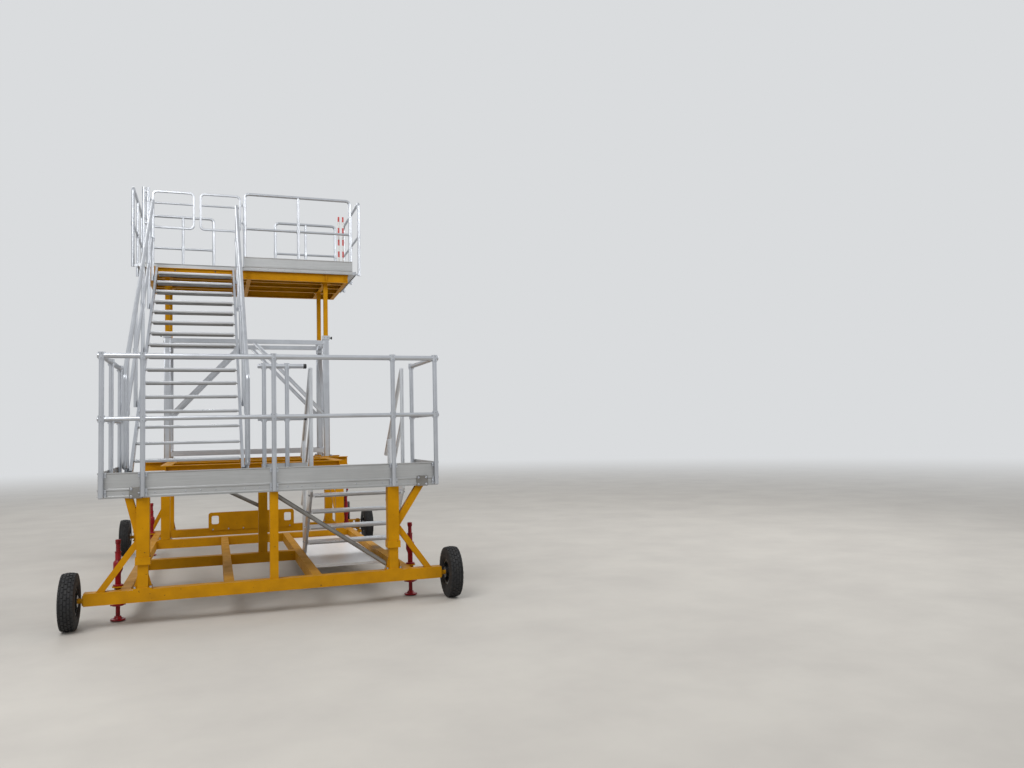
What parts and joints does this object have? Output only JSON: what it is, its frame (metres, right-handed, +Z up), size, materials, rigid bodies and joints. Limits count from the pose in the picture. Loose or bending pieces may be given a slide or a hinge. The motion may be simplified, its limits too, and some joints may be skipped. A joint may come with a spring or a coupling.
{
  "type": "variable height access platform",
  "caption": "Wheeled access platform with a low railed deck, a self-levelling stair and a raised railed platform on a telescoping braced tower.",
  "frame": {"origin": "on the floor, below the middle of the whole machine's box", "axes": "+X along the axles, to the right seen from the low platform's end; +Y from the low platform towards the tower; +Z up"},
  "size_m": [3.275, 6.8829, 5.0469],
  "materials": {
    "yellow_paint": "gloss enamel, worn",
    "aluminium_tube": "mill finish",
    "deck_aluminium": "matt",
    "tread_aluminium": "ribbed",
    "red_paint": "gloss",
    "black_paint": "satin",
    "black_plastic": "moulded, satin",
    "tyre": "matt"
  },
  "bodies": {
    "chassis": {"chassis_frame": "yellow_paint", "front_supports": "yellow_paint", "rear_supports": "yellow_paint", "tower_base": "yellow_paint", "tower_frame": "aluminium_tube", "lower_deck": "deck_aluminium", "lower_guard": "aluminium_tube", "landing_plate": "deck_aluminium", "access_steps": "aluminium_tube", "deck_braces": "aluminium_tube", "rear_plate": "yellow_paint", "jack_tubes": "red_paint", "hand_pump": "black_paint", "clamp_knobs": "black_plastic"},
    "wheel_fl": {"rim_fl": "yellow_paint", "tyre_fl": "tyre"},
    "wheel_fr": {"rim_fr": "yellow_paint", "tyre_fr": "tyre"},
    "wheel_rl": {"rim_rl": "yellow_paint", "tyre_rl": "tyre"},
    "wheel_rr": {"rim_rr": "yellow_paint", "tyre_rr": "tyre"},
    "knuckle_rl": {"knuckle_rl": "yellow_paint"},
    "knuckle_rr": {"knuckle_rr": "yellow_paint"},
    "tie_rod": {"tie_rod": "yellow_paint"},
    "platform": {"upper_frame": "yellow_paint", "inner_legs": "yellow_paint", "upper_deck": "deck_aluminium", "upper_guards": "aluminium_tube"},
    "side_guard_left": {"side_guard_left": "aluminium_tube"},
    "side_guard_right": {"side_guard_right": "aluminium_tube"},
    "gate_left": {"gate_left": "aluminium_tube"},
    "gate_right": {"gate_right": "aluminium_tube"},
    "flight": {"stair_stringers": "aluminium_tube", "stair_rails": "aluminium_tube"},
    "foot_roller_left": {"foot_roller_left": "black_plastic"},
    "foot_roller_right": {"foot_roller_right": "black_plastic"},
    "jack_fl": {"jack_screw_fl": "red_paint"},
    "jack_fr": {"jack_screw_fr": "red_paint"},
    "jack_rl": {"jack_screw_rl": "red_paint"},
    "jack_rr": {"jack_screw_rr": "red_paint"},
    "tread_01": {"tread_01": "tread_aluminium"},
    "tread_02": {"tread_02": "tread_aluminium"},
    "tread_03": {"tread_03": "tread_aluminium"},
    "tread_04": {"tread_04": "tread_aluminium"},
    "tread_05": {"tread_05": "tread_aluminium"},
    "tread_06": {"tread_06": "tread_aluminium"},
    "tread_07": {"tread_07": "tread_aluminium"},
    "tread_08": {"tread_08": "tread_aluminium"},
    "tread_09": {"tread_09": "tread_aluminium"},
    "tread_10": {"tread_10": "tread_aluminium"},
    "tread_11": {"tread_11": "tread_aluminium"},
    "tread_12": {"tread_12": "tread_aluminium"},
    "tread_13": {"tread_13": "tread_aluminium"},
    "tread_14": {"tread_14": "tread_aluminium"},
    "tread_15": {"tread_15": "tread_aluminium"},
    "tread_16": {"tread_16": "tread_aluminium"}
  },
  "joints": [
    {"name": "wheel_fl_spin", "type": "hinge", "parent": "chassis", "child": "wheel_fl", "pos_m": [-1.575, -3.21, 0.23], "axis": [1, 0, 0], "continuous": true},
    {"name": "wheel_fr_spin", "type": "hinge", "parent": "chassis", "child": "wheel_fr", "pos_m": [1.575, -3.21, 0.23], "axis": [1, 0, 0], "continuous": true},
    {"name": "wheel_rl_spin", "type": "hinge", "parent": "knuckle_rl", "child": "wheel_rl", "pos_m": [-1.575, 1.29, 0.23], "axis": [1, 0, 0], "continuous": true},
    {"name": "wheel_rr_spin", "type": "hinge", "parent": "knuckle_rr", "child": "wheel_rr", "pos_m": [1.575, 1.29, 0.23], "axis": [1, 0, 0], "continuous": true},
    {"name": "knuckle_rl_steer", "type": "hinge", "parent": "chassis", "child": "knuckle_rl", "pos_m": [-1.44, 1.29, 0.23], "axis": [0, 0, 1], "range_deg": [-25, 25]},
    {"name": "knuckle_rr_steer", "type": "hinge", "parent": "chassis", "child": "knuckle_rr", "pos_m": [1.44, 1.29, 0.23], "axis": [0, 0, 1], "range_deg": [-25, 25]},
    {"name": "tie_rod_slide", "type": "slide", "parent": "chassis", "child": "tie_rod", "axis": [1, 0, 0], "range_m": [-0.066, 0.066]},
    {"name": "jack_fl_screw", "type": "slide", "parent": "chassis", "child": "jack_fl", "axis": [0, 0, 1], "range_m": [-0.06, 0.08]},
    {"name": "jack_fr_screw", "type": "slide", "parent": "chassis", "child": "jack_fr", "axis": [0, 0, 1], "range_m": [-0.06, 0.08]},
    {"name": "jack_rl_screw", "type": "slide", "parent": "chassis", "child": "jack_rl", "axis": [0, 0, 1], "range_m": [-0.06, 0.08]},
    {"name": "jack_rr_screw", "type": "slide", "parent": "chassis", "child": "jack_rr", "axis": [0, 0, 1], "range_m": [-0.06, 0.08]},
    {"name": "platform_lift", "type": "slide", "parent": "chassis", "child": "platform", "axis": [0, 0, 1], "range_m": [-0.7, 0.3]},
    {"name": "side_guard_left_slide", "type": "slide", "parent": "platform", "child": "side_guard_left", "axis": [0, 1, 0], "range_m": [0, 0.4]},
    {"name": "side_guard_right_slide", "type": "slide", "parent": "platform", "child": "side_guard_right", "axis": [0, 1, 0], "range_m": [0, 0.4]},
    {"name": "gate_left_hinge", "type": "hinge", "parent": "platform", "child": "gate_left", "pos_m": [-1.345, 1.8, 4.725], "axis": [0, 0, 1], "range_deg": [0, 90]},
    {"name": "gate_right_hinge", "type": "hinge", "parent": "platform", "child": "gate_right", "pos_m": [-0.06, 1.8, 4.725], "axis": [0, 0, 1], "range_deg": [-90, 0]},
    {"name": "flight_pitch", "type": "hinge", "parent": "platform", "child": "flight", "pos_m": [-0.722, 1.73, 3.84697], "axis": [1, 0, 0], "range_deg": [-10.5, 4.56]},
    {"name": "foot_roller_left_spin", "type": "hinge", "parent": "flight", "child": "foot_roller_left", "pos_m": [-0.722, -2.12495, 1.1403], "axis": [1, 0, 0], "continuous": true},
    {"name": "foot_roller_right_spin", "type": "hinge", "parent": "flight", "child": "foot_roller_right", "pos_m": [-0.722, -2.12495, 1.1403], "axis": [1, 0, 0], "continuous": true},
    {"name": "tread_01_level", "type": "hinge", "parent": "flight", "child": "tread_01", "pos_m": [-0.722, -1.8975, 1.3], "axis": [1, 0, 0], "range_deg": [-4.56, 10.5]},
    {"name": "tread_02_level", "type": "hinge", "parent": "flight", "child": "tread_02", "pos_m": [-0.722, -1.6625, 1.465], "axis": [1, 0, 0], "range_deg": [-4.56, 10.5]},
    {"name": "tread_03_level", "type": "hinge", "parent": "flight", "child": "tread_03", "pos_m": [-0.722, -1.4275, 1.63], "axis": [1, 0, 0], "range_deg": [-4.56, 10.5]},
    {"name": "tread_04_level", "type": "hinge", "parent": "flight", "child": "tread_04", "pos_m": [-0.722, -1.1925, 1.795], "axis": [1, 0, 0], "range_deg": [-4.56, 10.5]},
    {"name": "tread_05_level", "type": "hinge", "parent": "flight", "child": "tread_05", "pos_m": [-0.722, -0.9575, 1.96], "axis": [1, 0, 0], "range_deg": [-4.56, 10.5]},
    {"name": "tread_06_level", "type": "hinge", "parent": "flight", "child": "tread_06", "pos_m": [-0.722, -0.7225, 2.125], "axis": [1, 0, 0], "range_deg": [-4.56, 10.5]},
    {"name": "tread_07_level", "type": "hinge", "parent": "flight", "child": "tread_07", "pos_m": [-0.722, -0.4875, 2.29], "axis": [1, 0, 0], "range_deg": [-4.56, 10.5]},
    {"name": "tread_08_level", "type": "hinge", "parent": "flight", "child": "tread_08", "pos_m": [-0.722, -0.2525, 2.455], "axis": [1, 0, 0], "range_deg": [-4.56, 10.5]},
    {"name": "tread_09_level", "type": "hinge", "parent": "flight", "child": "tread_09", "pos_m": [-0.722, -0.0175, 2.62], "axis": [1, 0, 0], "range_deg": [-4.56, 10.5]},
    {"name": "tread_10_level", "type": "hinge", "parent": "flight", "child": "tread_10", "pos_m": [-0.722, 0.2175, 2.785], "axis": [1, 0, 0], "range_deg": [-4.56, 10.5]},
    {"name": "tread_11_level", "type": "hinge", "parent": "flight", "child": "tread_11", "pos_m": [-0.722, 0.4525, 2.95], "axis": [1, 0, 0], "range_deg": [-4.56, 10.5]},
    {"name": "tread_12_level", "type": "hinge", "parent": "flight", "child": "tread_12", "pos_m": [-0.722, 0.6875, 3.115], "axis": [1, 0, 0], "range_deg": [-4.56, 10.5]},
    {"name": "tread_13_level", "type": "hinge", "parent": "flight", "child": "tread_13", "pos_m": [-0.722, 0.9225, 3.28], "axis": [1, 0, 0], "range_deg": [-4.56, 10.5]},
    {"name": "tread_14_level", "type": "hinge", "parent": "flight", "child": "tread_14", "pos_m": [-0.722, 1.1575, 3.445], "axis": [1, 0, 0], "range_deg": [-4.56, 10.5]},
    {"name": "tread_15_level", "type": "hinge", "parent": "flight", "child": "tread_15", "pos_m": [-0.722, 1.3925, 3.61], "axis": [1, 0, 0], "range_deg": [-4.56, 10.5]},
    {"name": "tread_16_level", "type": "hinge", "parent": "flight", "child": "tread_16", "pos_m": [-0.722, 1.6275, 3.775], "axis": [1, 0, 0], "range_deg": [-4.56, 10.5]}
  ],
  "couplings": [
    {"joint": "knuckle_rr_steer", "follows": "knuckle_rl_steer", "ratio": 1},
    {"joint": "tie_rod_slide", "follows": "knuckle_rl_steer", "m_per_rad": 0.1475},
    {"joint": "flight_pitch", "follows": "platform_lift", "rad_per_m": 0.25941},
    {"joint": "tread_01_level", "follows": "platform_lift", "rad_per_m": -0.25941},
    {"joint": "tread_02_level", "follows": "platform_lift", "rad_per_m": -0.25941},
    {"joint": "tread_03_level", "follows": "platform_lift", "rad_per_m": -0.25941},
    {"joint": "tread_04_level", "follows": "platform_lift", "rad_per_m": -0.25941},
    {"joint": "tread_05_level", "follows": "platform_lift", "rad_per_m": -0.25941},
    {"joint": "tread_06_level", "follows": "platform_lift", "rad_per_m": -0.25941},
    {"joint": "tread_07_level", "follows": "platform_lift", "rad_per_m": -0.25941},
    {"joint": "tread_08_level", "follows": "platform_lift", "rad_per_m": -0.25941},
    {"joint": "tread_09_level", "follows": "platform_lift", "rad_per_m": -0.25941},
    {"joint": "tread_10_level", "follows": "platform_lift", "rad_per_m": -0.25941},
    {"joint": "tread_11_level", "follows": "platform_lift", "rad_per_m": -0.25941},
    {"joint": "tread_12_level", "follows": "platform_lift", "rad_per_m": -0.25941},
    {"joint": "tread_13_level", "follows": "platform_lift", "rad_per_m": -0.25941},
    {"joint": "tread_14_level", "follows": "platform_lift", "rad_per_m": -0.25941},
    {"joint": "tread_15_level", "follows": "platform_lift", "rad_per_m": -0.25941},
    {"joint": "tread_16_level", "follows": "platform_lift", "rad_per_m": -0.25941}
  ]
}
